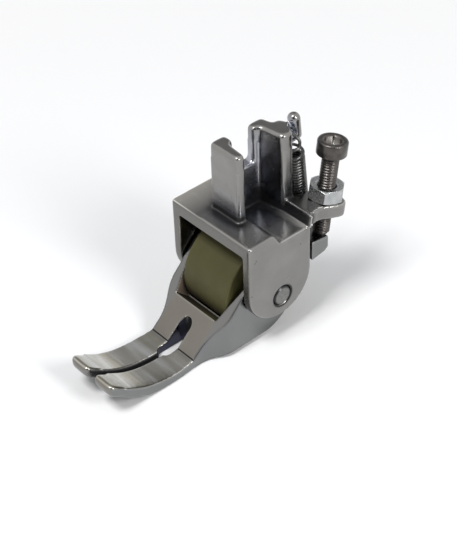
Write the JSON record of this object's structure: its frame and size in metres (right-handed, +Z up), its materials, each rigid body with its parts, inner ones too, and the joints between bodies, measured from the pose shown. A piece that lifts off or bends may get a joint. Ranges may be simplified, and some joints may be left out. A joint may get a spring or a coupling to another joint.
{
  "type": "sewing machine presser foot",
  "caption": "Hinged presser foot with upturned toes, a needle hole, a polyurethane roller between its cheeks, a slotted shank fork, a spring and a screw that sets toe height.",
  "frame": {"origin": "on the needle plate under the middle of the pivot pin, level with the flat underside of the toes", "axes": "+Z up along the shank fork, -Y towards the toes, X along the pivot pin, +X on the side of the adjusting screw"},
  "size_m": [0.0197, 0.049, 0.0355],
  "materials": {
    "cast_steel": "polished casting, dark grey",
    "sole_steel": "polished casting, dark grey",
    "pin_steel": "turned, satin",
    "polyurethane": "satin, slightly translucent olive",
    "screw_steel": "plated, dark",
    "zinc": "bright zinc plate",
    "spring_steel": "drawn wire, dark"
  },
  "bodies": {
    "housing": {"housing": "cast_steel", "pivot_pin": "pin_steel", "tension_spring": "spring_steel"},
    "sole": {"sole": "sole_steel"},
    "roller": {"roller_tyre": "polyurethane", "roller_hub": "pin_steel"},
    "screw": {"adjusting_screw": "screw_steel"},
    "nut": {"lock_nut": "zinc"}
  },
  "joints": [
    {"name": "sole_pivot", "type": "hinge", "parent": "housing", "child": "sole", "pos_m": [0, 0, 0.00876], "axis": [-1, 0, 0], "range_deg": [0, 12], "stiffness_Nm_per_rad": 0.05, "springref_deg": -20.05, "deforming": ["tension_spring"]},
    {"name": "roller_spin", "type": "hinge", "parent": "housing", "child": "roller", "pos_m": [0, 0, 0.00876], "axis": [1, 0, 0], "continuous": true},
    {"name": "screw_travel", "type": "slide", "parent": "housing", "child": "screw", "axis": [0, 0.1495, 0.9888], "range_m": [0, 0.002]},
    {"name": "nut_turn", "type": "hinge", "parent": "housing", "child": "nut", "pos_m": [0.00676, 0.01215, 0.02117], "axis": [0, 0.1495, 0.9888], "continuous": true}
  ]
}
